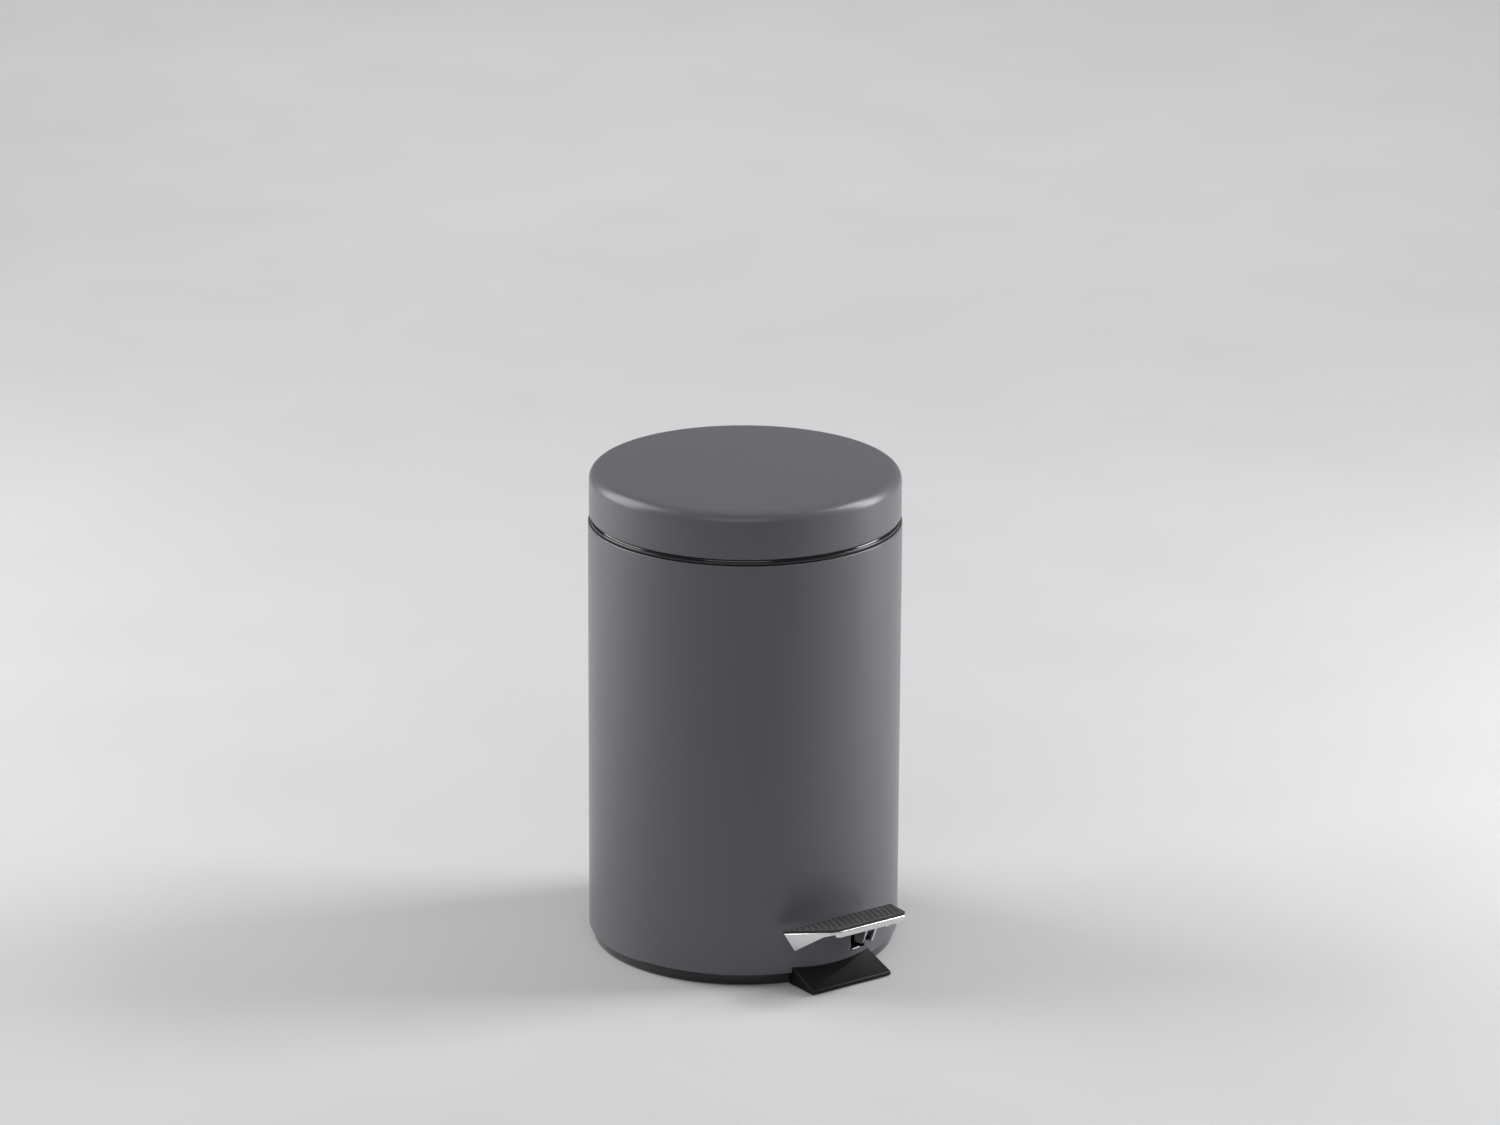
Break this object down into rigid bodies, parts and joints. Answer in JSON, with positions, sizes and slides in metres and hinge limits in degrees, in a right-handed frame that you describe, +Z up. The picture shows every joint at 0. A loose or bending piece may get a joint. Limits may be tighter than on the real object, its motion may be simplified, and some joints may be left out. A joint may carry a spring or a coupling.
{
  "type": "pedal trash can",
  "caption": "Small round steel pedal bin: foot pedal, lever and push rod open a hinged lid over a lift-out inner bucket.",
  "frame": {"origin": "centre of the footprint's bounding box at floor level", "axes": "+Z up, the pedal points along -Y, the hinge is at +Y"},
  "size_m": [0.168, 0.2256, 0.266],
  "materials": {
    "anthracite_paint": "satin anthracite powder coat",
    "gloss_black_plastic": "glossy black",
    "matt_black_plastic": "fine matt grain",
    "bucket_plastic": "smooth moulded",
    "bright_steel": "bright satin",
    "plain_steel": "plain zinc-plated",
    "black_rubber": "matt"
  },
  "bodies": {
    "bin": {"body_shell": "anthracite_paint", "rim_ring": "gloss_black_plastic", "base_ring": "gloss_black_plastic", "anti_slip_ring": "black_rubber", "floor_plate": "plain_steel", "hinge_block": "matt_black_plastic", "hinge_pin": "plain_steel", "hinge_screw_left": "plain_steel", "hinge_screw_right": "plain_steel", "pivot_bracket": "plain_steel", "pivot_pin": "plain_steel", "bracket_rivet_left": "plain_steel", "bracket_rivet_right": "plain_steel", "damper_cylinder": "matt_black_plastic", "damper_clip_lower": "matt_black_plastic", "damper_clip_upper": "matt_black_plastic", "clip_rivet_lower": "plain_steel", "clip_rivet_upper": "plain_steel", "inner_bucket": "bucket_plastic", "bucket_handle": "plain_steel", "handle_grip": "bucket_plastic"},
    "lid": {"lid_shell": "anthracite_paint", "lid_bracket": "matt_black_plastic"},
    "pedal": {"pedal_lever": "bright_steel", "pedal_plate": "bright_steel", "pedal_tread": "black_rubber", "pedal_rivet_rear": "plain_steel", "pedal_rivet_front": "plain_steel"},
    "push_rod": {"push_rod": "plain_steel", "push_nut_top": "plain_steel", "push_nut_bottom": "plain_steel"},
    "damper_rod": {"damper_rod": "plain_steel", "damper_nut": "plain_steel"}
  },
  "joints": [
    {"name": "lid_hinge", "type": "hinge", "parent": "bin", "child": "lid", "pos_m": [0, 0.1068, 0.2331], "axis": [-1, 0, 0], "range_deg": [0, 62]},
    {"name": "pedal_press", "type": "hinge", "parent": "bin", "child": "pedal", "pos_m": [0, -0.055, 0.017], "axis": [1, 0, 0], "range_deg": [0, 12.4]},
    {"name": "rod_swing", "type": "hinge", "parent": "lid", "child": "push_rod", "pos_m": [0, 0.0829, 0.2167], "axis": [1, 0, 0], "range_deg": [0, 62]},
    {"name": "damper_slide", "type": "slide", "parent": "bin", "child": "damper_rod", "axis": [0, 0, 1], "range_m": [0, 0.0277]}
  ],
  "couplings": [
    {"joint": "pedal_press", "follows": "lid_hinge", "ratio": 0.2},
    {"joint": "rod_swing", "follows": "lid_hinge", "ratio": 1},
    {"joint": "damper_slide", "follows": "lid_hinge", "m_per_rad": 0.0255}
  ]
}
